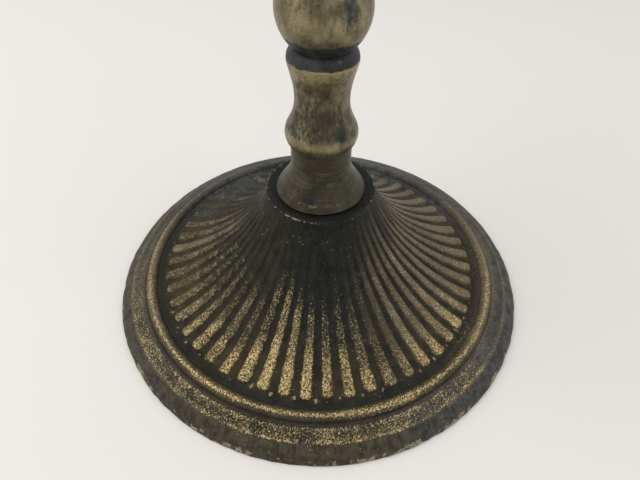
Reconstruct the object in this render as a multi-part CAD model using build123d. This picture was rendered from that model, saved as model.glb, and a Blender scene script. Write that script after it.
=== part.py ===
"""Brass altar candlestick: a fluted cast base and a stack of turned sections clamped by one tie rod.

Z is up and the origin is the centre of the base's underside. Lengths are in millimetres. Every section
is a solid of revolution about Z, drawn as an outline of (radius, height) points. A section's top has a
short spigot that centres the recess in the section above it. The nut under the base pulls the stack
down against the candle socket, which is screwed on the rod's upper end, and the nozzle that holds the
candle drops into the socket.
"""

import os

from build123d import *

# Base casting
FOOT_R = 75.0  # widest radius, at the table
FOOT_RING_W = 4.0  # width of the flat ring that the base stands on
FOOT_LAND_H = 1.0  # height of the worn edge above the table
SKIRT_BULGE = (73.1, 3.4)  # point that the skirt's curve passes through
RIM_EDGE = (70.4, 4.9)  # arris between the skirt and the sloping band
BAND_IN = (65.5, 7.0)  # inner edge of the sloping band
GROOVE = (65.0, 6.5)  # groove at the foot of the raised ring
RING_CREST = (63.3, 8.6)  # top of the raised ring
CHANNEL_OUT = (60.9, 6.9)  # the ring's inner edge, where a flat channel starts
CONE_END = (58.0, 6.9)  # where the trumpet-shaped cone meets the channel
CONE_PULL_LOW = (48.0, 8.4)  # control points of the cone's curve
CONE_PULL_TOP = (24.5, 22.0)
COLLAR = (18.1, 43.4)  # outer edge of the flat collar on top
BOSS_T = 6.4  # thickness of the metal under the collar
BOSS_R = 14.5
UNDER_CONE_END = (58.0, 3.4)
UNDER_PULL_LOW = (47.5, 4.8)
UNDER_PULL_TOP = (22.5, 19.0)
UNDER_BAND_END = (68.0, 3.0)

# Ribs on the cone
RIB_COUNT = 52
RIB_SHARE = 0.56  # part of each pitch that is rib
RIB_H_LOW = 0.8  # rib height at the rim end
RIB_H_TOP = 0.25  # rib height at the collar end
RIB_ROOT = 1.5  # how deep a rib reaches into the cone's wall
RIB_INSET = 0.9  # how far a rib stops short of the collar

# Tie rod, washer and nut
ROD_R = 3.0
ROD_HOLE_R = 3.4
ROD_LOW = 25.0  # height of the rod's lower end
ROD_CHAMFER = 0.5
THREAD_GAP = 0.05
WASHER_R = 11.0
WASHER_T = 1.8
NUT_FLATS = 10.0
NUT_T = 5.0

# Spigots that centre one section on the next
SPIGOT_R = 5.6
SPIGOT_H = 1.6
RECESS_R = 5.7
RECESS_H = 1.9
EDGE_BREAK = 0.1  # radial step at an outer corner

# Radii of the turned sections
BELL_R = 14.8
NECK_R = 9.5
SPOOL_FOOT_R = 10.5
BEAD_R = 11.15
WAIST_R = 8.05
RING_R = 10.05
BALL_R = 12.6
BALL_FLAT_R = 8.3
SLIM_R = 8.3  # the baluster at its foot
SWELL_R = 14.6  # the baluster at its shoulder
NECK_RING_R = 11.8

# Heights of the turned sections
FOOT_H = 19.0
SPOOL_H = 25.2
RING_H = 3.7
BALUSTER_H = 66.0
SHOULDER_H = 47.0
NECK_RING_H = 7.0
CAPITAL_H = 20.0

# Drip pan
PAN_R = 46.0
PAN_T = 2.2
PAN_H = 10.5
PAN_FLAT_R = 24.0
PAN_ROLL_R = 1.5  # radius of the rolled rim

# Candle socket and the nozzle that drops into it
SOCKET_H = 38.0
SOCKET_FOOT_R = 13.0
SOCKET_WAIST_R = 9.4
SOCKET_R = 15.6
SOCKET_NECK_R = 14.3
SOCKET_LIP_R = 17.2
SOCKET_ROOM = 0.8  # room under the nozzle
NOZZLE_BORE_R = 11.25  # takes a candle of 22 mm
NOZZLE_WALL = 0.9
NOZZLE_GAP = 0.3  # radial room between the nozzle and the socket
NOZZLE_DEPTH = 25.0
NOZZLE_FLANGE_R = 20.5
NOZZLE_FLANGE_T = 1.1
NOZZLE_LIP_H = 2.6


def turned(outline):
    """Solid of revolution about Z from an outline's edges."""
    return revolve(Plane.XZ * make_face(outline), axis=Axis.Z)


def core_side(top_r, height, low_r, recess=True):
    """The outline's inner side, from its top corner down to its bottom corner: spigot, hole, recess."""
    points = [
        (top_r, height),
        (SPIGOT_R, height),
        (SPIGOT_R, height + SPIGOT_H),
        (ROD_HOLE_R, height + SPIGOT_H),
    ]
    if recess:
        points += [(ROD_HOLE_R, RECESS_H), (RECESS_R, RECESS_H), (RECESS_R, 0)]
    else:
        points += [(ROD_HOLE_R, 0)]
    points += [(low_r, 0)]
    return Polyline(*points).edges()


def upside_down(curves, height):
    """Outline curves mirrored top to bottom within a height."""
    return [Pos(0, height) * mirror(curve, about=Plane.XZ) for curve in curves]


def cone_curve(lift_low=0.0, lift_top=0.0, inset=0.0):
    """The cone's curve from the collar to the channel, raised by a lift that may change along it."""
    lift = (lift_low + lift_top) / 2
    return Bezier(
        (COLLAR[0] + lift_top - inset / 3, COLLAR[1] - inset),
        (CONE_PULL_TOP[0] + lift, CONE_PULL_TOP[1] + lift),
        (CONE_PULL_LOW[0], CONE_PULL_LOW[1] + lift),
        (CONE_END[0], CONE_END[1] + lift_low),
    )


def rib(angle):
    """One rib: a sector of a band that stands proud of the cone and is rooted in its wall."""
    top = cone_curve(RIB_H_LOW, RIB_H_TOP, RIB_INSET)
    root = cone_curve(-RIB_ROOT, -RIB_ROOT, RIB_INSET)
    band = make_face([top, root, Line(top @ 0, root @ 0), Line(top @ 1, root @ 1)])
    return Rot(0, 0, -angle / 2) * revolve(Plane.XZ * band, axis=Axis.Z, revolution_arc=angle)


def base():
    """Hollow casting: skirt, sloping band, raised ring, flat channel, ribbed cone and a flat collar."""
    land_top = (FOOT_R, FOOT_LAND_H)
    inner_foot = (FOOT_R - FOOT_RING_W, 0)
    boss_z = COLLAR[1] - BOSS_T
    outline = [
        Line((FOOT_R, 0), land_top),
        ThreePointArc(land_top, SKIRT_BULGE, RIM_EDGE),
        Polyline(RIM_EDGE, BAND_IN, GROOVE),
        ThreePointArc(GROOVE, RING_CREST, CHANNEL_OUT),
        Line(CHANNEL_OUT, CONE_END),
        cone_curve(),
        Polyline(COLLAR, (ROD_HOLE_R, COLLAR[1]), (ROD_HOLE_R, boss_z), (BOSS_R, boss_z)),
        Bezier((BOSS_R, boss_z), UNDER_PULL_TOP, UNDER_PULL_LOW, UNDER_CONE_END),
        Polyline(UNDER_CONE_END, UNDER_BAND_END, inner_foot, (FOOT_R, 0)),
    ]
    pitch = 360 / RIB_COUNT
    first_rib = rib(pitch * RIB_SHARE)
    return turned(outline) + [Rot(0, 0, pitch * (i + 0.5)) * first_rib for i in range(RIB_COUNT)]


def stem_foot():
    """Bell that stands on the collar and narrows to a neck."""
    edge_z = 0.5
    neck_z = 12.0
    outline = [
        Line((BELL_R - 0.5, 0), (BELL_R, edge_z)),
        Bezier((BELL_R, edge_z), (12.7, 4.2), (NECK_R, 7.0), (NECK_R, neck_z)),
        Line((NECK_R, neck_z), (NECK_R, FOOT_H)),
    ]
    return turned(outline + core_side(NECK_R, FOOT_H, BELL_R - 0.5, recess=False))


def spool_curves():
    """The spool's outer curves, from its foot over the bead and the waist to its flaring rim."""
    bead = (BEAD_R, 2.7)
    waist = (WAIST_R, 13.9)
    return [
        Bezier((SPOOL_FOOT_R, 0), (10.95, 0.9), (BEAD_R, 1.8), bead),
        Bezier(bead, (BEAD_R, 6.0), (WAIST_R, 7.7), waist),
        Bezier(waist, (WAIST_R, 18.5), (9.3, 21.4), (RING_R, SPOOL_H)),
    ]


def spool():
    """Bead, waist and flaring rim in one turning."""
    return turned(spool_curves() + core_side(RING_R, SPOOL_H, SPOOL_FOOT_R))


def spool_turned_over():
    """The spool's outer curves upside down, with the spigot and recess the usual way up."""
    return turned(upside_down(spool_curves(), SPOOL_H) + core_side(SPOOL_FOOT_R, SPOOL_H, RING_R))


def ring_curves():
    """The ring's outer edge, from the spool's rim in to the ball's flat."""
    edge = (RING_R, 0.3)
    return [
        Line((RING_R - EDGE_BREAK, 0), edge),
        Bezier(edge, (RING_R, 1.6), (9.5, 2.7), (BALL_FLAT_R, RING_H)),
    ]


def ring():
    """Ring that rounds in from the spool's rim to the ball's flat."""
    return turned(ring_curves() + core_side(BALL_FLAT_R, RING_H, RING_R - EDGE_BREAK))


def ring_turned_over():
    """Ring that rounds out from the ball's flat to the spool's rim."""
    return turned(upside_down(ring_curves(), RING_H) + core_side(RING_R - EDGE_BREAK, RING_H, BALL_FLAT_R))


def ball_height():
    """Distance between the ball's two flats."""
    return 2 * (BALL_R**2 - BALL_FLAT_R**2) ** 0.5


def ball_knop():
    """Ball with a flat at each pole."""
    height = ball_height()
    outline = ThreePointArc((BALL_FLAT_R, 0), (BALL_R, height / 2), (BALL_FLAT_R, height))
    return turned([outline] + core_side(BALL_FLAT_R, height, BALL_FLAT_R))


def baluster():
    """Vase that swells from a slim foot to a high shoulder and draws in to a neck."""
    foot_z = 1.2
    slim_z = 7.0
    outline = [
        Line((NECK_R, 0), (NECK_R, foot_z)),
        Bezier((NECK_R, foot_z), (NECK_R - 0.6, 3.4), (SLIM_R, 4.4), (SLIM_R, slim_z)),
        Bezier((SLIM_R, slim_z), (SLIM_R, 23.0), (SWELL_R, 31.0), (SWELL_R, SHOULDER_H)),
        Bezier((SWELL_R, SHOULDER_H), (SWELL_R, 57.0), (NECK_R - 0.5, 57.0), (NECK_R - 0.5, BALUSTER_H)),
    ]
    return turned(outline + core_side(NECK_R - 0.5, BALUSTER_H, NECK_R))


def neck_ring():
    """Half-round ring with a fillet on each side, on the baluster's neck."""
    fillet_h = 1.2
    outline = [
        Line((NECK_R, 0), (NECK_R, fillet_h)),
        ThreePointArc((NECK_R, fillet_h), (NECK_RING_R, NECK_RING_H / 2), (NECK_R, NECK_RING_H - fillet_h)),
        Line((NECK_R, NECK_RING_H - fillet_h), (NECK_R, NECK_RING_H)),
    ]
    return turned(outline + core_side(NECK_R, NECK_RING_H, NECK_R))


def capital():
    """Bell that opens upwards under the drip pan. Its spigot also centres the pan."""
    top_r = BELL_R - 0.5
    lip_z = CAPITAL_H - 1.6
    outline = [
        Bezier((NECK_R - 0.5, 0), (NECK_R - 1.2, 9.0), (12.4, 12.6), (BELL_R, lip_z)),
        Polyline((BELL_R, lip_z), (BELL_R, CAPITAL_H - 0.5), (top_r, CAPITAL_H)),
    ]
    return turned(outline + core_side(top_r, CAPITAL_H, NECK_R - 0.5))


def drip_pan():
    """Spun dish with a rolled rim, clamped between the capital and the socket."""
    wall_end = (PAN_R - 2.6, PAN_H - 2 * PAN_ROLL_R)
    roll_low = (PAN_R - PAN_ROLL_R, PAN_H - 2 * PAN_ROLL_R)
    roll_top = (PAN_R - PAN_ROLL_R, PAN_H)
    inner_end = (PAN_R - 5.2, PAN_H - 3.2)
    outline = [
        Line((RECESS_R, 0), (PAN_FLAT_R, 0)),
        Bezier((PAN_FLAT_R, 0), (33.0, 0), (40.5, 3.0), wall_end),
        Line(wall_end, roll_low),
        ThreePointArc(roll_low, (PAN_R, PAN_H - PAN_ROLL_R), roll_top),
        ThreePointArc(roll_top, (PAN_R - 3.6, PAN_H - 0.8), inner_end),
        Bezier(inner_end, (38.6, 4.6), (32.0, PAN_T), (PAN_FLAT_R, PAN_T)),
        Polyline((PAN_FLAT_R, PAN_T), (RECESS_R, PAN_T), (RECESS_R, 0)),
    ]
    return turned(outline)


def candle_socket():
    """Urn-shaped cup, tapped from below for the tie rod and bored for the nozzle."""
    foot_edge_z = 1.6
    waist_z = 6.0
    belly_z = 20.0
    neck_z = SOCKET_H - 5.5
    lip_z = SOCKET_H - 1.6
    bore_r = NOZZLE_BORE_R + NOZZLE_WALL + NOZZLE_GAP
    tap_r = ROD_R + THREAD_GAP
    floor_z = socket_floor()
    outline = [
        Line((SOCKET_FOOT_R, 0), (SOCKET_FOOT_R, foot_edge_z)),
        ThreePointArc((SOCKET_FOOT_R, foot_edge_z), (10.3, 3.2), (SOCKET_WAIST_R, waist_z)),
        Bezier((SOCKET_WAIST_R, waist_z), (11.5, 10.2), (SOCKET_R, 12.0), (SOCKET_R, belly_z)),
        Bezier((SOCKET_R, belly_z), (SOCKET_R, 25.0), (SOCKET_NECK_R, 28.0), (SOCKET_NECK_R, neck_z)),
        Bezier((SOCKET_NECK_R, neck_z), (SOCKET_NECK_R, 35.0), (15.6, 36.0), (SOCKET_LIP_R, lip_z)),
        Polyline((SOCKET_LIP_R, lip_z), (SOCKET_LIP_R, SOCKET_H), (bore_r, SOCKET_H), (bore_r, floor_z)),
        Polyline((bore_r, floor_z), (tap_r, floor_z), (tap_r, 0), (SOCKET_FOOT_R, 0)),
    ]
    return turned(outline)


def socket_floor():
    """Height of the socket's floor above its own foot."""
    return SOCKET_H - NOZZLE_DEPTH - NOZZLE_WALL - SOCKET_ROOM


def nozzle():
    """Thin cup whose flared flange hangs on the socket's lip. Its zero height is at that lip."""
    outer_r = NOZZLE_BORE_R + NOZZLE_WALL
    edge_z = NOZZLE_LIP_H - 0.5
    inner_edge_r = NOZZLE_FLANGE_R - 1.3
    middle_r = (NOZZLE_FLANGE_R + inner_edge_r) / 2
    flat_r = SOCKET_LIP_R - 0.6
    under_z = -NOZZLE_DEPTH - NOZZLE_WALL
    outline = [
        Polyline((0, -NOZZLE_DEPTH), (0, under_z), (outer_r, under_z), (outer_r, 0), (SOCKET_LIP_R, 0)),
        ThreePointArc((SOCKET_LIP_R, 0), (19.4, 0.7), (NOZZLE_FLANGE_R, edge_z)),
        ThreePointArc((NOZZLE_FLANGE_R, edge_z), (middle_r, NOZZLE_LIP_H), (inner_edge_r, edge_z)),
        ThreePointArc((inner_edge_r, edge_z), (18.4, 1.5), (flat_r, NOZZLE_FLANGE_T)),
        Polyline((flat_r, NOZZLE_FLANGE_T), (NOZZLE_BORE_R, NOZZLE_FLANGE_T), (NOZZLE_BORE_R, -NOZZLE_DEPTH)),
        Line((NOZZLE_BORE_R, -NOZZLE_DEPTH), (0, -NOZZLE_DEPTH)),
    ]
    return turned(outline)


def tie_rod(length):
    """Steel rod with chamfered ends."""
    rod = Cylinder(ROD_R, length, align=(Align.CENTER, Align.CENTER, Align.MIN))
    return chamfer(rod.edges().filter_by(GeomType.CIRCLE), ROD_CHAMFER)


def clamp_washer():
    """Washer that spreads the nut's load under the boss. Its zero height is its top face."""
    disc = Cylinder(WASHER_R, WASHER_T, align=(Align.CENTER, Align.CENTER, Align.MAX))
    return disc - Cylinder(ROD_HOLE_R, 3 * WASHER_T)


def clamp_nut():
    """Hexagon nut on the rod's lower end. Its zero height is its top face."""
    blank = extrude(RegularPolygon(NUT_FLATS / 2, 6, major_radius=False), -NUT_T)
    return blank - Cylinder(ROD_R + THREAD_GAP, 3 * NUT_T)


def stacked(sections, z):
    """Each section moved up to stand on the one before it, and the height on top of the last."""
    placed = {}
    for name, shape, height in sections:
        placed[name] = Pos(0, 0, z) * shape
        z += height
    return placed, z


def model():
    """All the parts by node name, in place."""
    stack, socket_z = stacked(
        [
            ("stem_foot", stem_foot(), FOOT_H),
            ("lower_spool", spool(), SPOOL_H),
            ("lower_ring", ring(), RING_H),
            ("ball_knop", ball_knop(), ball_height()),
            ("upper_ring", ring_turned_over(), RING_H),
            ("upper_spool", spool_turned_over(), SPOOL_H),
            ("baluster", baluster(), BALUSTER_H),
            ("neck_ring", neck_ring(), NECK_RING_H),
            ("capital", capital(), CAPITAL_H),
            ("drip_pan", drip_pan(), PAN_T),
        ],
        COLLAR[1],
    )
    boss_z = COLLAR[1] - BOSS_T
    rod_length = socket_z + socket_floor() - 0.5 - ROD_LOW
    return {
        "base": base(),
        **stack,
        "candle_socket": Pos(0, 0, socket_z) * candle_socket(),
        "nozzle": Pos(0, 0, socket_z + SOCKET_H) * nozzle(),
        "tie_rod": Pos(0, 0, ROD_LOW) * tie_rod(rod_length),
        "clamp_washer": Pos(0, 0, boss_z) * clamp_washer(),
        "clamp_nut": Pos(0, 0, boss_z - WASHER_T) * clamp_nut(),
    }


os.makedirs("parts", exist_ok=True)
for name, shape in model().items():
    export_step(shape, f"parts/{name}.step")
    box = shape.bounding_box()
    print(f"{name:14s} z {box.min.Z:6.1f} to {box.max.Z:6.1f}  radius {box.max.X:5.2f}  volume {shape.volume:6.0f}")
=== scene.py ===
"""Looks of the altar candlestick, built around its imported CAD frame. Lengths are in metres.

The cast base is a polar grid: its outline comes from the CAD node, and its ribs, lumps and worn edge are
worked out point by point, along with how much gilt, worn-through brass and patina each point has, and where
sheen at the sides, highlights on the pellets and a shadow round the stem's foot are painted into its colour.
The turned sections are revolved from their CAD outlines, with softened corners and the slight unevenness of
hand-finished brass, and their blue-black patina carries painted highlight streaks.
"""

import math

import bmesh
import bpy
import numpy as np
from mathutils import Matrix, Vector, noise


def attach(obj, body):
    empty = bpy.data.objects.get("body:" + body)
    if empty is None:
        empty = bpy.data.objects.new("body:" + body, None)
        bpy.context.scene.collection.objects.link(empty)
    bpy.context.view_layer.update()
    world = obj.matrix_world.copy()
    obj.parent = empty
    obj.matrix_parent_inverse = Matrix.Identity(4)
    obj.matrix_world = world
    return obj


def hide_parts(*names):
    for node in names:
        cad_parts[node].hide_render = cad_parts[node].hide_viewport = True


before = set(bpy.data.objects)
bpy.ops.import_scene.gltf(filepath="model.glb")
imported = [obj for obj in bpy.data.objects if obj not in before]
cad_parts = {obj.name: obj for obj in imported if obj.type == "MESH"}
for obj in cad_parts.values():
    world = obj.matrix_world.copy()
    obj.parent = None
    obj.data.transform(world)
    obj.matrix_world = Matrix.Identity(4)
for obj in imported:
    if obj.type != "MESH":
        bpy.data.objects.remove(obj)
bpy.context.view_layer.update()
MM = 0.001

# Camera, close over the table and looking down at the base, and the point that the lamps are turned to
CAMERA_AT = (0.0, -0.1246, 0.1462)
CAMERA_DOWN = math.radians(45.97)
CAMERA_TURN = math.radians(0.07)
CAMERA_ROLL = math.radians(1.09)
CAMERA_LENS = 27.0
LIT_POINT = (0.0, 0.0, 0.06)

# Base
FOOT_R = 75.0 * MM  # widest radius, at the table
RIM_R = 70.4 * MM  # arris between the skirt and the sloping band
BAND_IN_R = 65.6 * MM  # inner edge of the sloping band
GROOVE_R = 65.3 * MM  # groove at the foot of the raised ring
RING_R = 63.3 * MM  # crest of the raised ring
CHANNEL_R = 60.0 * MM  # middle of the flat channel between the ring and the cone
COLLAR_R = 18.1 * MM  # outer edge of the flat collar on top
COLLAR_Z = 43.4 * MM
STEM_FOOT_R = 14.8 * MM  # foot of the stem, which stands on the collar
BASE_STEP = 1.1 * MM
BASE_EDGE_SOFTNESS = 0.18 * MM
RIB_COUNT = 52
RIB_SHARE = 0.63  # part of each pitch that is rib, with its soft sides
RIB_H_LOW = 0.9 * MM
RIB_H_TOP = 0.25 * MM
RIB_END_R = 57.9 * MM
RIB_END_ZONE = (57.5 * MM, 60.95 * MM)  # radii that take finer steps, for the ribs' ends and the pellets
STEPS_PER_RIB = 12
PELLET_AT = 57.9 * MM
PELLET_R = 0.72 * MM
PELLET_H = 0.55 * MM

# Outlines: a turn of more than this is a corner
SHARPEST_CURVE = math.radians(26.0)

# Turned sections
CORE_R = 6.0 * MM  # hidden inside: spigots, recesses and the rod's hole
UNEVEN = 0.035 * MM
EDGE_SOFTNESS = 0.07 * MM
# Their wear: heights above the table, in mm
BELL_ARRIS_Z = 46.3
BELL_BLACK = (42.0, 55.0)
BELL_LINES = (46.0, 55.0)  # where the lathe's lines grow stronger
BELL_TOP_Z = 62.4
BEAD_BRIGHT = (62.2, 67.0)
WAIST_BROWN = (66.5, 83.5)
SPOOL_RIM_BRIGHT = (84.4, 88.3)
LOW_BLACK = (88.3, 95.0)
HIGH_BLACK = (107.5, 113.6)
NOZZLE_LIP_Z = 273.5
# Stains: angle, height in mm, half angle, half height in mm and amount
BLACK_STAINS = (
    (-58, 104, 16, 7.0, 0.66),
    (-142, 69.5, 26, 4.5, 0.62),
    (-56, 68, 15, 4.5, 0.60),
    (-150, 84, 26, 6.0, 0.46),
    (60, 150, 25, 9.0, 0.40),
    (150, 100, 30, 6.0, 0.45),
    (-30, 178, 22, 9.0, 0.40),
    (-120, 226, 20, 5.0, 0.35),
)
BROWN_STAINS = (
    (-100, 108, 22, 5.0, 0.62),
    (-86, 72, 25, 5.0, 0.20),
    (-50, 81, 16, 4.0, -0.2),
    (40, 102, 30, 6.0, 0.4),
    (-100, 160, 40, 12.0, 0.35),
    (100, 190, 40, 10.0, 0.35),
)


# Numbers


def smooth(value, low, high):
    """0 below low and 1 above high, with a smooth change between them."""
    t = np.clip((value - low) / (high - low), 0.0, 1.0)
    return t * t * (3.0 - 2.0 * t)


def bell(value, centre, width):
    """1 at the centre, falling off to both sides."""
    return np.exp(-(((value - centre) / width) ** 2))


def around_bell(angles, centre, width):
    """1 at an angle in degrees, falling off to both sides of it."""
    turn = (np.degrees(angles) - centre + 180) % 360 - 180
    return np.exp(-((turn / width) ** 2))


def polar_points(radius, angles, height):
    """The grid of (x, y, z) points at each radius, angle and height."""
    return np.stack([radius * np.cos(angles), radius * np.sin(angles), height], axis=-1)


def lumps(grid, size, seed):
    """Smooth noise of about -1 to 1 at each point of a grid. Its lumps are about size apart."""
    shift = Vector((seed * 7.31, seed * 3.77, seed * 5.13))
    values = [noise.fractal(Vector(point) / size + shift, 1.0, 2.0, 2) for point in grid.reshape(-1, 3)]
    return np.array(values).reshape(grid.shape[:-1])


# Outlines


def cad_outline(node):
    """The node's outline in the plane of +X and Z: ordered (radius, height) points of its CAD mesh."""
    mesh = bmesh.new()
    mesh.from_mesh(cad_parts[node].data)
    bmesh.ops.remove_doubles(mesh, verts=mesh.verts, dist=1e-6)
    for normal in ((1, 0, 0), (0, 1, 0)):
        everything = mesh.verts[:] + mesh.edges[:] + mesh.faces[:]
        cut = bmesh.ops.bisect_plane(mesh, geom=everything, plane_co=(0, 0, 0), plane_no=normal, dist=2e-6)
    links = {}
    for edge in cut["geom_cut"]:
        if isinstance(edge, bmesh.types.BMEdge) and min(v.co.x for v in edge.verts) > -1e-6:
            a, b = edge.verts
            links.setdefault(a, []).append(b)
            links.setdefault(b, []).append(a)
    open_ends = [v for v in links if len(links[v]) == 1]
    here = open_ends[0] if open_ends else max(links, key=lambda v: (v.co.x, -v.co.z))
    path = []
    while here is not None:
        path.append(here)
        choices = [v for v in links[here] if v not in path[-2:] and v is not path[0]]
        here = choices[0] if choices and len(path) < len(links) else None
    points = np.array([(v.co.x, v.co.z) for v in path])
    mesh.free()
    onward = np.roll(points, -1, axis=0)
    area = np.sum(points[:, 0] * onward[:, 1] - onward[:, 0] * points[:, 1])
    return points if area > 0 else points[::-1]


def turns_of(outline):
    """How far the closed outline turns at each point, in radians: above 0 on edges, below 0 in hollows."""
    into = outline - np.roll(outline, 1, axis=0)
    out = np.roll(outline, -1, axis=0) - outline
    return np.arctan2(into[:, 0] * out[:, 1] - into[:, 1] * out[:, 0], (into * out).sum(1))


def step_counts(points, step, busy):
    """How many steps each side of the closed outline takes.

    Level, inner and underneath sides take fewer, and upper sides that start at a busy radius take more.
    """
    side = np.roll(points, -1, axis=0) - points
    length = np.hypot(*side.T)
    out, up = side[:, 1] / length, -side[:, 0] / length
    plain = (np.abs(up) > 0.99) | (out < -0.3)
    hidden = (up < -0.3) | (points[:, 0] < CORE_R)
    detailed = (points[:, 0] > busy[0]) & (points[:, 0] < busy[1]) & (up > 0.5)
    size = step * np.where(detailed, 0.33, np.where(hidden, 6.0, np.where(plain, 3.0, 1.0)))
    return np.maximum(1, np.round(length / size)).astype(int)


def stops_on_side(length, count, soften, corner_at_start, corner_at_end):
    """Places along a side, from 0 to 1, with a close pair at each end that has a corner."""
    near = min(soften, length * 0.25) / length
    stops = list(np.linspace(0.0, 1.0, count + 1)[:-1])
    if corner_at_start:
        stops = [near, 2 * near] + [t for t in stops if t > 3 * near]
    if corner_at_end:
        stops = [t for t in stops if t < 1 - 3 * near] + [1 - 2 * near, 1 - near]
    return stops


def finer(points, step, soften, busy=(0.0, 0.0)):
    """The closed outline with smooth stretches on curves, points about step apart and corners softened."""
    corner = np.abs(turns_of(points)) > SHARPEST_CURVE
    counts = step_counts(points, step, busy)
    total = len(points)
    made = []
    for i in range(total):
        j = (i + 1) % total
        a, b = points[i], points[j]
        length = float(np.hypot(*(b - a)))
        before, after = points[i - 1], points[(i + 2) % total]
        leave = b - a if corner[i] else (b - before) * length / np.hypot(*(b - before))
        arrive = b - a if corner[j] else (after - a) * length / np.hypot(*(after - a))
        for t in stops_on_side(length, counts[i], soften, corner[i], corner[j]):
            made.append(
                (2 * t**3 - 3 * t**2 + 1) * a
                + (t**3 - 2 * t**2 + t) * leave
                + (3 * t**2 - 2 * t**3) * b
                + (t**3 - t**2) * arrive
            )
    return np.array(made)


def bulge_of(outline):
    """How sharply the closed outline turns at each point, in 1/mm: above 0 on edges, below 0 in hollows."""
    ahead = np.roll(outline, -1, axis=0) - np.roll(outline, 1, axis=0)
    return turns_of(outline) / np.maximum(np.hypot(*ahead.T) / 2, 0.2 * MM) * MM


# Meshes


def revolved_mesh(name, grid, material, marks):
    """A mesh piece from a grid of points, rings first, that closes on itself both ways."""
    rings, around = grid.shape[:2]
    index = np.arange(rings * around).reshape(rings, around)
    up = np.roll(index, -1, axis=0)
    quads = np.stack([index, np.roll(index, -1, axis=1), np.roll(up, -1, axis=1), up], axis=-1)
    mesh = bpy.data.meshes.new(name)
    mesh.from_pydata(grid.reshape(-1, 3).tolist(), [], quads.reshape(-1, 4).tolist())
    mesh.validate()
    mesh.shade_smooth()
    for mark, values in marks.items():
        layer = mesh.attributes.new(mark, "FLOAT", "POINT")
        layer.data.foreach_set("value", values.astype(np.float32).ravel())
    mesh.materials.append(material)
    piece = bpy.data.objects.new(name, mesh)
    bpy.context.scene.collection.objects.link(piece)
    return piece


def stand_for(piece, node, body):
    """The piece replaces the CAD node and rides on its body."""
    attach(piece, body)
    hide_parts(node)


def turned_piece(node, body, material, around=96, step=0.55 * MM):
    """A turned section: the node's outline revolved, with a slight unevenness on its outside."""
    outline = finer(cad_outline(node), step, EDGE_SOFTNESS)
    outline[:, 0] = np.maximum(outline[:, 0], 0.02 * MM)
    angles = np.arange(around) * 2 * math.pi / around
    radius = np.repeat(outline[:, :1], around, axis=1)
    height = np.repeat(outline[:, 1:], around, axis=1)
    wave = lumps(polar_points(radius, angles, height), 9 * MM, sum(map(ord, node)) % 97)
    radius = radius + wave * UNEVEN * smooth(radius, CORE_R + MM, CORE_R + 2 * MM)
    points = polar_points(radius, angles, height)
    bulge = np.repeat(bulge_of(outline)[:, None], around, axis=1)
    marks = stem_marks(points, np.broadcast_to(angles, radius.shape), height, bulge)
    piece = revolved_mesh(node + "_turned", points, material, marks)
    stand_for(piece, node, body)


# Base


def rib_phase(angles):
    """For each angle, the rib's number and the place across it: 0 on its middle, 0.5 midway to the next."""
    turns = (angles + math.pi / 2) / (2 * math.pi) * RIB_COUNT
    return np.floor(turns).astype(int) % RIB_COUNT, turns - np.floor(turns) - 0.5


def rib_height(radius, across, rib):
    """Height of the ribs above the cone, and how far each point is on a rib, from 0 to 1."""
    rng = np.random.default_rng(3)
    width = RIB_SHARE / 2 * (1 + 0.07 * rng.uniform(-1, 1, RIB_COUNT))[rib]
    height = (1 + 0.12 * rng.uniform(-1, 1, RIB_COUNT))[rib]
    end = RIB_END_R + 0.35 * MM * rng.uniform(-1, 1, RIB_COUNT)[rib]
    share = np.abs(across) / width
    dome = 1.0 - smooth(share, 0.72, 1.15)
    dome = dome * (1.0 - 0.22 * np.clip(share, 0, 1) ** 2)
    along = np.clip((radius - COLLAR_R) / (RIB_END_R - COLLAR_R), 0, 1)
    tall = RIB_H_TOP + (RIB_H_LOW - RIB_H_TOP) * along
    rounded_end = end - 0.9 * MM * np.clip(share, 0, 1) ** 2.5
    stop = 1.0 - smooth(radius, rounded_end - 0.55 * MM, rounded_end + 0.35 * MM)
    start = smooth(radius, COLLAR_R + 0.8 * MM, COLLAR_R + 6 * MM)
    return dome * tall * height * stop * start, dome * stop


def pellets(radius, across, rib):
    """Small round pellets between the lower ends of the ribs: 1 at a pellet's middle, 0 away from it."""
    rng = np.random.default_rng(17)
    gap = (rib + (across > 0)) % RIB_COUNT
    size = PELLET_R * (1 + 0.3 * rng.uniform(-1, 1, RIB_COUNT))[gap]
    at = PELLET_AT + 0.5 * MM * rng.uniform(-1, 1, RIB_COUNT)[gap]
    side = (0.5 - np.abs(across)) * 2 * math.pi / RIB_COUNT * radius
    return np.sqrt(np.maximum(0.0, 1.0 - (side**2 + (radius - at) ** 2) / (2.2 * size**2)))


def normals_of(outline):
    """The unit normal at each point of the closed outline, pointing out of the metal."""
    ahead = np.roll(outline, -1, axis=0) - np.roll(outline, 1, axis=0)
    normal = np.stack([ahead[:, 1], -ahead[:, 0]], axis=1)
    return normal / np.hypot(*normal.T)[:, None]


def cast_lumps(height, coarse, fine):
    """How far the cast lumps raise the surface. They fade out at the table and at the collar."""
    free = smooth(height, 0.2 * MM, 1.6 * MM) * smooth(COLLAR_Z - height, 0.0, 2 * MM)
    return free * (0.07 * MM * coarse + 0.05 * MM * fine)


def worn_edge(radius, height, coarse, fine):
    """The change of radius, 0 or less, that leaves the foot's edge ragged."""
    edge = smooth(radius, FOOT_R - 3.5 * MM, FOOT_R) * (height < 3.6 * MM)
    return edge * np.minimum(0.0, 0.14 * MM * coarse + 0.18 * MM * fine - 0.1 * MM)


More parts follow.
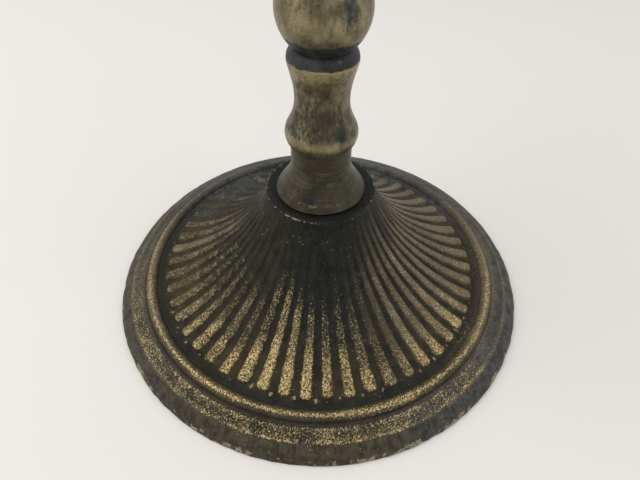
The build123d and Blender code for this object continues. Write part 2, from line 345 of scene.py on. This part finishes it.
def base_piece(material):
    """The cast base as one polar grid."""
    outline = finer(cad_outline("base"), BASE_STEP, BASE_EDGE_SOFTNESS, busy=RIB_END_ZONE)
    normal = normals_of(outline)
    around = RIB_COUNT * STEPS_PER_RIB
    angles = (np.arange(around) + 0.5) * 2 * math.pi / around
    radius = np.repeat(outline[:, :1], around, axis=1)
    height = np.repeat(outline[:, 1:], around, axis=1)
    spread = np.broadcast_to(angles, radius.shape)
    even = polar_points(radius, angles, height)
    coarse = lumps(even, 14 * MM, 5)
    fine = lumps(even, 3.2 * MM, 8)
    outside = normal[:, 1:] > 0.02
    on_cone = outside & (radius < PELLET_AT + 1.5 * MM) & (height < COLLAR_Z - 0.3 * MM)
    rib, across = rib_phase(spread)
    rise, on_rib = rib_height(radius, across, rib)
    pellet = pellets(radius, across, rib) * on_cone
    rise = np.where(on_cone, np.maximum(rise, PELLET_H * pellet), 0.0)
    rise = rise + cast_lumps(height, coarse, fine) * outside
    worn = worn_edge(radius, height, coarse, fine) * (normal[:, :1] > 0)
    new_r = radius + rise * normal[:, :1] + worn
    new_z = height + rise * normal[:, 1:]
    marks = base_marks(BasePoints(radius, height, spread, rib, on_rib * on_cone, pellet, even))
    piece = revolved_mesh("base_casting", polar_points(new_r, angles, new_z), material, marks)
    stand_for(piece, "base", "stick")


# Wear, patina and painted sheen, highlights and shadow on the base


class BasePoints:
    """The points of the base's grid, with the directions and the noise that their wear follows.

    Angles go round from the right, so the front is at -90 degrees. streak has one value for each rib, and
    wear_start is the radius where a rib's gilt begins.
    """

    def __init__(self, radius, height, angles, rib, on_rib, pellet, grid):
        rng = np.random.default_rng(11)
        self.radius = radius
        self.height = height
        self.angles = angles
        self.on_rib = on_rib
        self.pellet = pellet
        self.patch = lumps(grid, 7 * MM, 21)
        self.wave = lumps(grid, 20 * MM, 34)
        self.small = lumps(grid, 1.6 * MM, 55)
        self.streak = rng.uniform(-1, 1, RIB_COUNT)[rib]
        self.front = 0.5 - 0.5 * np.sin(angles)
        self.right = np.cos(angles)
        self.back = smooth(np.sin(angles), 0.05, 0.7)
        self.above_skirt = height > 4 * MM
        start = 29.0 * MM - 5.0 * MM * self.right + 3.0 * MM * rng.uniform(-1, 1, RIB_COUNT)[rib]
        self.wear_start = start - 5.0 * MM * self.near(-108, 15) + 4.0 * MM * self.near(-84, 7)

    def near(self, angle, width):
        """1 at an angle in degrees, falling off to both sides of it."""
        return around_bell(self.angles, angle, width)


def gilt_on_ribs(at):
    """Gilt grains on the ribs, most of all at the front left."""
    kept = 0.24 + 0.44 * at.front + 0.24 * at.near(-106, 26) + 0.14 * at.near(-38, 24)
    kept = kept - 0.30 * at.near(-60, 9) * bell(at.radius, 41 * MM, 8 * MM)
    along = smooth(at.radius, at.wear_start - 3 * MM, at.wear_start + 7 * MM)
    along = along * (0.75 + 0.42 * smooth(at.radius, 38 * MM, 56 * MM))
    ribs = smooth(at.on_rib + 0.36 * at.small, 0.12, 0.7) * along * kept
    return ribs * (1.0 + 0.12 * at.streak + 0.28 * at.patch)


def gilt_on_ring(at):
    """Gilt grains in an uneven band on the raised ring, and in the channel beside it at the front right."""
    width = 1.0 * MM + 0.4 * MM * at.wave + 0.45 * MM * at.patch + 0.25 * MM * at.small
    for angle, spread, extra in ((-66, 13, 0.9 * MM), (178, 45, 0.5 * MM), (-14, 18, 0.6 * MM)):
        width = width + extra * at.near(angle, spread)
    ring = bell(at.radius, RING_R + 0.1 * MM, np.maximum(width, 0.5 * MM)) * (at.height > 6.9 * MM)
    ring = ring * (0.28 + 0.70 * at.front + 0.14 * at.near(178, 30) + 0.2 * at.near(-12, 20))
    return ring + bell(at.radius, CHANNEL_R, 2.2 * MM) * (0.45 + 0.2 * at.patch) * at.near(-35, 14)


def gilt_on_band(at):
    """Gilt grains on the sloping band and in a line along each of its edges."""
    outer = 0.62 * bell(at.radius, RIM_R - 0.15 * MM, 0.4 * MM) * (0.3 + 0.7 * at.front)
    outer = outer * (1.0 + 0.5 * at.patch)
    inner = 0.45 * bell(at.radius, BAND_IN_R + 0.8 * MM, 0.35 * MM) * (0.7 + 0.7 * at.wave)
    band = 0.6 * smooth(at.radius, BAND_IN_R, BAND_IN_R + MM)
    band = band * (1 - smooth(at.radius, RIM_R - 0.6 * MM, RIM_R + 0.4 * MM))
    band = band * (1.0 + 0.4 * at.patch) * (0.15 + 0.85 * smooth(at.front - 0.15 * at.right, 0.35, 0.9))
    return outer + inner + band


def rubbed_brass(at):
    """Brass that shows through the patina: on the ribs, on the ring's crest and in scratches at the left."""
    high = smooth(at.on_rib + 0.15 * at.small, 0.1, 0.6) * smooth(at.radius, COLLAR_R + 2 * MM, 30 * MM)
    high = high * (1.0 - 0.5 * at.front**2 - 0.5 * at.near(140, 26) + 0.2 * at.streak)
    high = high * (1.0 - 0.2 * smooth(at.right, 0.2, 0.8))
    crest = bell(at.radius, RING_R - 0.2 * MM, 2.2 * MM) * (0.55 - 0.25 * at.front + 0.3 * at.right**2)
    crest = crest * smooth(at.height, 7.1 * MM, 8.0 * MM) * (1.0 - 0.5 * at.back)
    scratches = 0.5 * at.near(178, 38) * bell(at.radius, 20 * MM, 3 * MM)
    clean = 1.0 - 0.75 * smooth(at.front, 0.6, 0.95) * (1 - smooth(at.radius, 26 * MM, 40 * MM))
    rubbed = np.maximum(np.maximum(high, crest), scratches) * clean * (0.85 + 0.4 * at.patch)
    return rubbed + 0.25 * at.pellet


def brass_polish_and_sheen(at):
    """Smooth brown brass and painted sheen: on the raised ring, on the ribs at the right and along the rim at
    both sides. It is kept to the sides, where the lighter brass is painted sheen.
    """
    width = 2.0 * MM + 0.8 * MM * smooth(at.right, 0.3, 0.9)
    ring = bell(at.radius, RING_R + 0.3 * MM, width) * (0.95 + 0.3 * at.wave)
    ring = ring * (1.0 - 0.75 * smooth(at.front, 0.62, 0.95) - 0.75 * at.back)
    ribs = smooth(at.on_rib + 0.2 * at.small, 0.0, 1.0) * smooth(at.right, 0.2, 0.85)
    ribs = ribs * smooth(at.radius, at.wear_start - 6 * MM, at.wear_start + 6 * MM)
    ribs = ribs * (0.8 + 0.3 * at.wave + 0.15 * at.streak)
    rim = 0.5 * bell(at.radius, RIM_R, 0.5 * MM) * np.abs(at.right)
    return np.maximum(np.maximum(ring, ribs), rim)


def bare_metal_and_highlights(at):
    """Bare metal: chips along the foot's edge and nicks on the collar's lip, with a painted highlight on the
    tops of some pellets, most at the front.
    """
    chips = smooth(at.radius, FOOT_R - 1.3 * MM, FOOT_R - 0.2 * MM) * (at.height < 2.2 * MM)
    chips = chips * np.clip(0.26 + 0.45 * at.patch + 0.55 * at.small, 0, 0.7)
    lip = bell(at.radius, COLLAR_R - 0.1 * MM, 0.26 * MM) * (at.height > COLLAR_Z - 0.8 * MM)
    nicks = 0.22 * np.abs(at.right) ** 3 + 0.42 * at.near(-118, 10) + 0.5 * at.patch + 0.5 * at.small
    nicks = np.clip(nicks * (1 - 0.7 * at.near(-50, 22)), 0, 0.5)
    # Painted highlight on the pellets' tops, strongest at the front
    painted_pellet_highlight = smooth(at.pellet + 0.3 * at.small, 0.5, 0.95) * (0.15 + 0.22 * at.front**2 + 0.12 * at.streak)
    return chips + lip * nicks + painted_pellet_highlight


def dust_and_painted_sheen(at):
    """Dust patina with painted sheen: on the skirt, where its lighter colour is partly painted sheen, and,
    more thinly, on the sloping band at both sides, where it is painted sheen.
    """
    skirt = smooth(at.radius, RIM_R + 0.2 * MM, RIM_R + 0.8 * MM) * (at.height < 5 * MM)
    band = smooth(at.radius, BAND_IN_R - 0.2 * MM, BAND_IN_R + 0.8 * MM) * at.above_skirt
    # The band's share grows towards the sides: painted sheen
    return np.maximum(skirt, 0.45 * band * smooth(np.abs(at.right), 0.4, 0.95))


def slate_patina(at):
    """Blue-grey patina: outside the ring at the right and, fainter, at the left, and round the back."""
    sides = smooth(at.right, 0.1, 0.8) + 0.5 * smooth(-at.right, 0.4, 0.9)
    sides = sides * smooth(at.radius, BAND_IN_R - MM, BAND_IN_R + 0.4 * MM)
    rear = at.back * smooth(at.radius, 40 * MM, 60 * MM) * (1 - 0.5 * at.on_rib)
    return np.maximum(sides, rear) * (0.8 + 0.35 * at.wave)


def warm_patina(at):
    """Brown patina: on the lower cone and at both sides, but little in the channel and the groove."""
    warm = smooth(at.radius, 34 * MM, 52 * MM) + 0.45 * np.abs(at.right) * (at.radius > COLLAR_R)
    warm = warm * (1 - 0.9 * bell(at.radius, CHANNEL_R, 1.8 * MM)) * (1 - 0.4 * smooth(at.right, 0.2, 0.9))
    warm = warm * (1 - 0.6 * at.front**2 * (1 - at.on_rib)) * (1 - 0.6 * bell(at.radius, GROOVE_R, 1.2 * MM))
    return warm * (0.8 + 0.5 * at.wave) * (1 - 0.6 * at.back)


def painted_seam_shadow(at):
    """Painted shadow: black on the collar, close round the stem's foot, in the crease where it stands."""
    close = 1 - smooth(at.radius, STEM_FOOT_R + 0.4 * MM, STEM_FOOT_R + 1.6 * MM)
    return close * (at.height > COLLAR_Z - MM)


def base_marks(at):
    """How much of each kind of wear and patina, and of painted sheen, highlight and shadow, each point of the
    base has, from 0 to 1.
    """
    gilt = gilt_on_ribs(at) + gilt_on_ring(at) + gilt_on_band(at) + 0.25 * at.pellet
    marks = {
        "gilt": gilt * at.above_skirt,
        "rubbed": rubbed_brass(at) * at.above_skirt,
        "polish_and_sheen": brass_polish_and_sheen(at) * at.above_skirt,
        "bare_and_highlight": bare_metal_and_highlights(at),
        "skirt": dust_and_painted_sheen(at),
        "slate": slate_patina(at),
        "seam": painted_seam_shadow(at),
        "warm": warm_patina(at),
    }
    return {name: np.clip(values, 0, 1) for name, values in marks.items()}


# Shaders


class Shader:
    """A material's nodes, with a short call for each kind that the finishes use."""

    def __init__(self, name):
        self.material = bpy.data.materials.new(name)
        self.material.use_nodes = True
        self.tree = self.material.node_tree
        self.surface = self.tree.nodes["Principled BSDF"]
        self.place = self.add("ShaderNodeTexCoord").outputs["Object"]

    def add(self, kind, **settings):
        """A new node with its settings."""
        node = self.tree.nodes.new(kind)
        for key, value in settings.items():
            setattr(node, key, value)
        return node

    def put(self, value, socket):
        """Sets a socket to a number or colour, or links it to another socket."""
        if isinstance(value, bpy.types.NodeSocket):
            self.tree.links.new(value, socket)
        else:
            socket.default_value = value

    def mark(self, name):
        """The amount of one kind of wear that the mesh carries."""
        return self.add("ShaderNodeAttribute", attribute_name=name).outputs["Fac"]

    def stretched(self, scale):
        """The point in the object's own axes, scaled along each."""
        node = self.add("ShaderNodeVectorMath", operation="MULTIPLY")
        self.put(self.place, node.inputs[0])
        self.put(scale, node.inputs[1])
        return node.outputs[0]

    def outward(self):
        """The point at the foot's radius in the same direction from the axis, whatever its own radius."""
        direction = self.add("ShaderNodeVectorMath", operation="NORMALIZE")
        self.put(self.stretched((1, 1, 0)), direction.inputs[0])
        node = self.add("ShaderNodeVectorMath", operation="SCALE")
        self.put(direction.outputs[0], node.inputs[0])
        self.put(FOOT_R, node.inputs["Scale"])
        return node.outputs[0]

    def noise(self, size, detail=2.0, rough=0.5, warp=0.0, scale=(1, 1, 1), offset=0.0, around=False):
        """Noise with features about size apart. Around the axis, it makes lines that run up the surface."""
        node = self.add("ShaderNodeTexNoise", noise_dimensions="4D" if offset else "3D")
        self.put(self.outward() if around else self.stretched(scale), node.inputs["Vector"])
        if offset:
            self.put(offset, node.inputs["W"])
        self.put(1.0 / size, node.inputs["Scale"])
        self.put(detail, node.inputs["Detail"])
        self.put(rough, node.inputs["Roughness"])
        self.put(warp, node.inputs["Distortion"])
        return node.outputs["Fac"]

    def math(self, operation, a, b):
        """Two numbers put together by one operation."""
        node = self.add("ShaderNodeMath", operation=operation)
        self.put(a, node.inputs[0])
        self.put(b, node.inputs[1])
        return node.outputs[0]

    def step(self, value, low, high, to_low=0.0, to_high=1.0):
        """A smooth change from to_low to to_high as the value goes from low to high."""
        node = self.add("ShaderNodeMapRange", interpolation_type="SMOOTHSTEP")
        for socket, number in zip(node.inputs[:5], (value, low, high, to_low, to_high)):
            self.put(number, socket)
        return node.outputs[0]

    def mix(self, share, a, b):
        """Colour a where share is 0 and b where it is 1."""
        node = self.add("ShaderNodeMix", data_type="RGBA")
        self.put(share, node.inputs["Factor"])
        self.put(a, node.inputs[6])
        self.put(b, node.inputs[7])
        return node.outputs[2]

    def bump(self, height, distance, strength, under=None):
        """A normal roughened by a height, on top of another bump if one is given."""
        node = self.add("ShaderNodeBump")
        self.put(strength, node.inputs["Strength"])
        self.put(distance, node.inputs["Distance"])
        self.put(height, node.inputs["Height"])
        if under is not None:
            self.put(under, node.inputs["Normal"])
        return node.outputs[0]

    def limit(self, value, threshold, blur):
        """0 below a threshold and 1 above it, with a smooth change of width blur each side."""
        return self.step(self.math("SUBTRACT", value, threshold), -blur, blur)

    def finish(self, **sockets):
        """The material, with its surface's sockets set."""
        for name, value in sockets.items():
            self.put(value, self.surface.inputs[name.replace("_", " ")])
        return self.material


def colour(r, g, b):
    """A colour given as sRGB values from 0 to 255, as linear values."""
    linear = [c / 255 / 12.92 if c <= 10 else ((c / 255 + 0.055) / 1.055) ** 2.4 for c in (r, g, b)]
    return (*linear, 1.0)


def casting_patina(s, lines):
    """Near-black patina that turns brown, dust-grey or slate where it is marked, with lines up the skirt. Its
    dust colour is partly painted sheen, and it turns black in a painted shadow round the stem's foot.
    """
    cloud = s.step(s.noise(4 * MM, detail=5.0, rough=0.6), 0.3, 0.7)
    patina = s.mix(cloud, colour(20, 23, 20), colour(33, 35, 32))
    patina = s.mix(s.mark("warm"), patina, s.mix(cloud, colour(47, 39, 19), colour(73, 63, 38)))
    dust = s.step(s.noise(0.8 * MM, detail=3.0, rough=0.7, offset=5.0), 0.54, 0.7)
    patina = s.mix(s.math("MULTIPLY", dust, 0.5), patina, colour(70, 63, 46))
    mottle = s.step(s.noise(2.2 * MM, detail=5.0, rough=0.6, offset=1.0), 0.36, 0.66)
    # Dust on the skirt, lightened in part as painted sheen; on the band at the sides it is painted sheen
    dust_and_sheen_tone = s.mix(mottle, colour(48, 43, 32), colour(75, 69, 55))
    patina = s.mix(s.mark("skirt"), patina, dust_and_sheen_tone)
    patina = s.mix(s.mark("slate"), patina, s.mix(mottle, colour(47, 50, 50), colour(78, 80, 79)))
    patina = s.mix(s.math("MULTIPLY", lines, 0.34), patina, colour(96, 92, 80))
    # Painted shadow: near-black on the collar round the stem's foot
    return s.mix(s.mark("seam"), patina, colour(8, 8, 7))


def casting_finish():
    """Rough cast brass under a near-black patina, rubbed on its high places down to grains of gilt."""
    s = Shader("base_casting")
    gilt = s.mark("gilt")
    grain = s.noise(0.45 * MM, detail=2.5, rough=0.6, warp=0.8)
    blotch = s.noise(1.1 * MM, detail=3.0, offset=4.0)
    gold = s.limit(grain, s.math("SUBTRACT", 0.76, s.math("MULTIPLY", gilt, 0.315)), 0.03)
    gold = s.math("MULTIPLY", gold, s.step(gilt, 0.02, 0.12))
    worn = s.limit(blotch, s.math("SUBTRACT", 0.85, s.math("MULTIPLY", s.mark("rubbed"), 0.5)), 0.12)
    lines = s.step(s.noise(0.35 * MM, detail=2.0, around=True), 0.5, 0.68)
    lines = s.math("MULTIPLY", lines, s.mark("skirt"))
    fine = s.step(grain, 0.35, 0.65)
    # Smooth brass tone: partly rubbed brass, partly painted sheen at the sides of the ring, ribs and rim
    smooth_and_sheen_tone = s.mix(fine, colour(94, 84, 68), colour(146, 132, 107))
    polish_and_sheen = s.math("MULTIPLY", s.mark("polish_and_sheen"), s.step(blotch, 0.34, 0.58, 0.6, 0.98))
    base = s.mix(polish_and_sheen, casting_patina(s, lines), smooth_and_sheen_tone)
    base = s.mix(s.math("MULTIPLY", worn, 0.8), base, s.mix(fine, colour(88, 79, 65), colour(136, 124, 102)))
    tint = s.noise(0.5 * MM, detail=2.0, offset=9.0)
    rich = s.mix(s.step(tint, 0.38, 0.62), colour(114, 95, 54), colour(212, 192, 142))
    poor = s.mix(s.step(tint, 0.35, 0.65), colour(112, 102, 76), colour(172, 158, 120))
    base = s.mix(gold, base, s.mix(s.step(gilt, 0.5, 0.95), poor, rich))
    nick = s.step(s.noise(0.7 * MM, detail=1.0, offset=2.0), 0.71, 0.78)
    # Bare metal chips and nicks, and the painted highlight on the pellets' tops
    bare_and_highlight = s.limit(s.noise(0.45 * MM, detail=2.0, offset=2.0), s.math("SUBTRACT", 0.8, s.mark("bare_and_highlight")), 0.1)
    bare_and_highlight = s.math("MAXIMUM", s.math("MULTIPLY", bare_and_highlight, s.step(s.mark("bare_and_highlight"), 0.05, 0.3)), nick)
    base = s.mix(bare_and_highlight, base, s.mix(s.step(tint, 0.35, 0.65), colour(104, 98, 80), colour(160, 150, 122)))
    metal = s.math("MAXIMUM", s.math("MULTIPLY", gold, 0.8), s.math("MULTIPLY", worn, 0.3))
    relief = s.bump(grain, 0.24 * MM, 1.0)
    relief = s.bump(s.noise(0.3 * MM, detail=2.0, offset=6.0), 0.04 * MM, 0.6, relief)
    relief = s.bump(lines, 0.03 * MM, 0.5, relief)
    return s.finish(
        Base_Color=base,
        Metallic=metal,
        Roughness=s.step(gold, 0.0, 1.0, 0.55, 0.42),
        Specular_IOR_Level=0.14,
        Normal=relief,
    )


def brass_finish(name, dull, clear):
    """Old turned brass: dull to clear where it is rubbed, browned in hollows, with blue-black patina that
    carries pale painted highlight streaks.
    """
    s = Shader(name)
    cloud = s.noise(5 * MM, detail=5.0, rough=0.6)
    streak = s.noise(1.2 * MM, detail=3.0, scale=(1, 1, 0.35), offset=3.0)
    speck = s.noise(0.8 * MM, detail=3.0, rough=0.7, offset=7.0)
    lathe = s.noise(0.5 * MM, detail=3.0, scale=(0.03, 0.03, 1), offset=8.0)
    brass = s.mix(s.step(cloud, 0.3, 0.7), dull, clear)
    brass = s.mix(s.math("MULTIPLY", s.step(streak, 0.45, 0.7), 0.6), brass, colour(96, 90, 73))
    spots = s.step(s.noise(2.2 * MM, detail=4.0, rough=0.65, offset=5.0), 0.56, 0.7)
    brass = s.mix(s.math("MULTIPLY", spots, 0.5), brass, colour(64, 56, 40))
    brass = s.mix(s.step(speck, 0.58, 0.68), brass, colour(54, 47, 35))
    bright = s.limit(speck, s.math("SUBTRACT", 0.95, s.mark("bright")), 0.15)
    brass = s.mix(s.math("MULTIPLY", bright, 0.85), brass, colour(172, 158, 118))
    ragged = s.math("ADD", s.math("MULTIPLY", speck, 0.5), s.math("MULTIPLY", streak, 0.5))
    brown = s.limit(ragged, s.math("SUBTRACT", 0.98, s.mark("brown")), 0.2)
    turned = s.math("MULTIPLY", s.step(lathe, 0.47, 0.66), s.mark("turned"))
    turned = s.math("MULTIPLY", turned, s.step(cloud, 0.35, 0.6))
    umber = s.mix(s.step(speck, 0.4, 0.6), colour(22, 20, 15), colour(38, 34, 26))
    umber = s.mix(turned, umber, colour(72, 66, 54))
    base = s.mix(s.math("MULTIPLY", brown, 0.85), brass, umber)
    black = s.limit(ragged, s.math("SUBTRACT", 0.98, s.mark("dark")), 0.19)
    slate = s.mix(s.step(cloud, 0.35, 0.7), colour(23, 26, 31), colour(48, 53, 61))
    # Pale streaks on the blue-black patina: painted highlight streaks
    slate = s.mix(s.step(streak, 0.6, 0.76), slate, colour(76, 80, 86))
    base = s.mix(s.math("MULTIPLY", black, 0.92), base, slate)
    cover = s.math("MAXIMUM", black, brown)
    relief = s.bump(lathe, 0.03 * MM, 0.4)
    relief = s.bump(speck, 0.05 * MM, 0.6, relief)
    return s.finish(
        Base_Color=base,
        Metallic=s.step(cover, 0.0, 1.0, 0.8, 0.15),
        Roughness=s.math("ADD", s.step(cloud, 0.3, 0.7, 0.32, 0.42), s.math("MULTIPLY", black, 0.12)),
        Specular_IOR_Level=0.2,
        Normal=relief,
    )


def steel_finish():
    """Plain steel, darkened, with a little rust."""
    s = Shader("steel")
    cloud = s.noise(2.5 * MM, detail=4.0)
    base = s.mix(s.step(cloud, 0.45, 0.65), colour(120, 117, 110), colour(92, 66, 46))
    relief = s.bump(s.noise(0.4 * MM, detail=3.0), 0.04 * MM, 0.6)
    return s.finish(
        Base_Color=base,
        Metallic=s.step(cloud, 0.45, 0.65, 0.9, 0.3),
        Roughness=s.step(cloud, 0.3, 0.7, 0.35, 0.6),
        Normal=relief,
    )


# Wear on the turned sections


def between(z, low, high, blur):
    """1 between two heights and 0 outside them."""
    return smooth(z, low - blur, low + blur) * (1 - smooth(z, high - blur, high + blur))


def stains(places, angles, height):
    """The sum of stains, each given by angle, height in mm, half angle, half height in mm and amount."""
    total = np.zeros(height.shape)
    for at_angle, at_z, half_angle, half_z, amount in places:
        fade = bell(height, at_z * MM, half_z * MM)
        total += amount * around_bell(angles, at_angle, half_angle) * fade
    return total


def stem_marks(points, angles, height, bulge):
    """Where a turned section is blackened, browned, rubbed bright or marked by the lathe, from 0 to 1."""
    patch = lumps(points, 7 * MM, 13)
    cloud = lumps(points, 16 * MM, 19)
    wobble = lumps(points, 2.5 * MM, 27)
    z = height / MM + 0.4 * wobble
    on_bell = 1 - smooth(z, BELL_TOP_Z - 0.6, BELL_TOP_Z + 0.4)
    arris = bell(z, BELL_ARRIS_Z + 0.5 * cloud, 0.45) * smooth(-np.sin(angles), 0.3, 0.9) * (0.7 + wobble)
    dark = 0.9 * between(z, *LOW_BLACK, 0.4) + 0.9 * between(z, *HIGH_BLACK, 0.4)
    dark = dark + 0.36 * on_bell * between(z, *BELL_BLACK, 3.0) + 0.4 * smooth(patch, 0.4, 0.9)
    dark = dark + stains(BLACK_STAINS, angles, height) - 0.4 * arris
    brown = 0.90 * on_bell + 0.50 * between(z, *WAIST_BROWN, 1.5) + 0.45 * smooth(-bulge, 0.05, 0.4)
    brown = brown + 0.1 * smooth(cloud, 0.1, 0.6) * (z > HIGH_BLACK[0])
    brown = brown + stains(BROWN_STAINS, angles, height) - 0.4 * arris
    bright = 0.34 * between(z + 1.2 * wobble, *BEAD_BRIGHT, 0.9)
    bright = bright + 0.40 * between(z + 0.8 * cloud, *SPOOL_RIM_BRIGHT, 0.7)
    bright = bright + 0.3 * smooth(bulge, 0.3, 1.2) * (1 - on_bell)
    bright = bright + 0.4 * smooth(z, NOZZLE_LIP_Z - 1, NOZZLE_LIP_Z)
    turned = 0.25 + 0.75 * on_bell * (0.45 + 0.55 * smooth(z + wobble, *BELL_LINES))
    marks = {"dark": dark, "brown": brown, "bright": bright, "turned": turned}
    return {name: np.clip(values, 0, 1) for name, values in marks.items()}


# Stage


def make_camera():
    """A phone's camera, close over the table."""
    camera = bpy.data.objects.new("camera", bpy.data.cameras.new("camera"))
    camera.data.lens = CAMERA_LENS
    camera.data.clip_start = 0.005
    look = Matrix.Rotation(-CAMERA_TURN, 4, "Z") @ Matrix.Rotation(math.pi / 2 - CAMERA_DOWN, 4, "X")
    camera.matrix_world = Matrix.Translation(CAMERA_AT) @ look @ Matrix.Rotation(CAMERA_ROLL, 4, "Z")
    bpy.context.scene.collection.objects.link(camera)
    bpy.context.scene.camera = camera


def make_floor():
    """A wide off-white table top."""
    mesh = bpy.data.meshes.new("floor")
    half = 8.0
    corners = [(-half, -half, 0), (half, -half, 0), (half, half, 0), (-half, half, 0)]
    mesh.from_pydata(corners, [], [(0, 1, 2, 3)])
    s = Shader("floor")
    mesh.materials.append(s.finish(Base_Color=colour(222, 220, 216), Roughness=0.75))
    floor = bpy.data.objects.new("floor", mesh)
    bpy.context.scene.collection.objects.link(floor)


def make_light(name, at, size, watts, tint):
    """A round area lamp, turned towards the candlestick."""
    light = bpy.data.lights.new(name, "AREA")
    light.shape = "DISK"
    light.size = size
    light.energy = watts
    light.color = tint
    lamp = bpy.data.objects.new(name, light)
    lamp.location = at
    lamp.rotation_mode = "QUATERNION"
    lamp.rotation_quaternion = (Vector(LIT_POINT) - Vector(at)).to_track_quat("-Z", "Y")
    bpy.context.scene.collection.objects.link(lamp)


def make_world():
    """A pale room all round, darker on the side that the camera stands on."""
    world = bpy.data.worlds.new("world")
    world.use_nodes = True
    tree = world.node_tree
    place = tree.nodes.new("ShaderNodeTexCoord")
    split = tree.nodes.new("ShaderNodeSeparateXYZ")
    shade = tree.nodes.new("ShaderNodeMapRange")
    background = tree.nodes["Background"]
    tree.links.new(place.outputs["Generated"], split.inputs[0])
    tree.links.new(split.outputs["Y"], shade.inputs["Value"])
    for name, number in (("From Min", -0.9), ("From Max", 0.2), ("To Min", 0.46), ("To Max", 0.8)):
        shade.inputs[name].default_value = number
    tree.links.new(shade.outputs[0], background.inputs["Strength"])
    background.inputs["Color"].default_value = (1.0, 0.99, 0.98, 1.0)
    bpy.context.scene.world = world


make_camera()
make_floor()
make_world()
make_light("key", (-0.55, -0.05, 0.75), 0.9, 4.4, (1.0, 0.98, 0.95))
make_light("fill", (0.7, -0.3, 0.7), 0.9, 2.6, (0.97, 0.98, 1.0))
bpy.context.scene.view_settings.view_transform = "Standard"

casting = casting_finish()
stem_tones = (colour(101, 94, 72), colour(154, 143, 111))
stem = brass_finish("stem_brass", *stem_tones)
ring = brass_finish("ring_brass", *stem_tones)
pan = brass_finish("pan_brass", colour(98, 88, 63), colour(150, 136, 100))
nozzle = brass_finish("nozzle_brass", colour(112, 102, 74), colour(172, 158, 116))
steel = steel_finish()
base_piece(casting)
for node in ("stem_foot", "lower_spool", "ball_knop", "upper_spool", "baluster", "neck_ring", "capital"):
    turned_piece(node, "stick", stem)
for node in ("lower_ring", "upper_ring"):
    turned_piece(node, "stick", ring)
turned_piece("candle_socket", "stick", stem)
turned_piece("drip_pan", "stick", pan, around=160, step=0.9 * MM)
turned_piece("nozzle", "nozzle", nozzle)
for node in ("tie_rod", "clamp_washer", "clamp_nut"):
    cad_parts[node].data.materials.clear()
    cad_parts[node].data.materials.append(steel)
